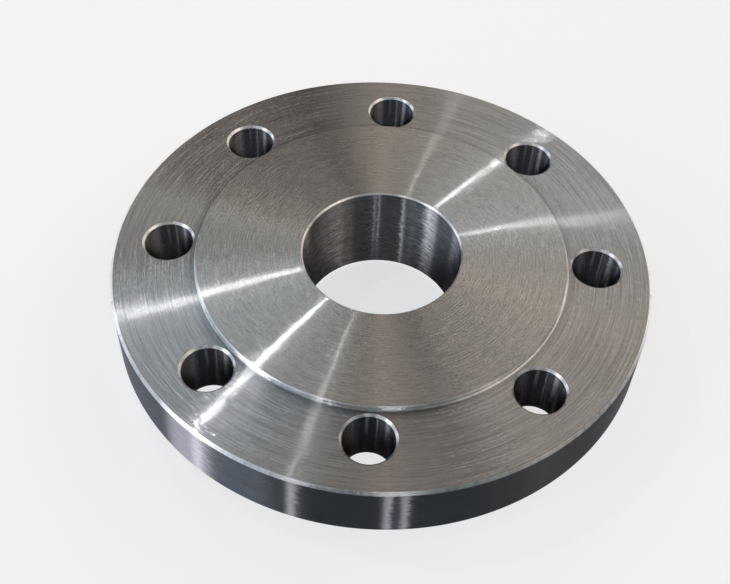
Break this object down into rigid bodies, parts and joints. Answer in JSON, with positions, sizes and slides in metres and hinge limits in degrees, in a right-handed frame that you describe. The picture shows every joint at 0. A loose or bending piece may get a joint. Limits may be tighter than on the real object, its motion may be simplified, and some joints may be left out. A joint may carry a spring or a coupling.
{
  "type": "raised face flange",
  "caption": "Round steel pipe flange with a shallow raised gasket face, a plain bore, a ring of bolt holes round it and a short tapered hub at the back.",
  "frame": {"origin": "centre of the hub's end face, on the bore's axis", "axes": "+Z along the bore's axis, from the hub's end to the raised face; +X through the middle of a bolt hole"},
  "size_m": [0.2, 0.2, 0.04],
  "materials": {
    "turned_steel": "bright turned steel with fine concentric tool marks, oiled, unpainted"
  },
  "bodies": {
    "root": {"flange": "turned_steel"}
  },
  "joints": []
}
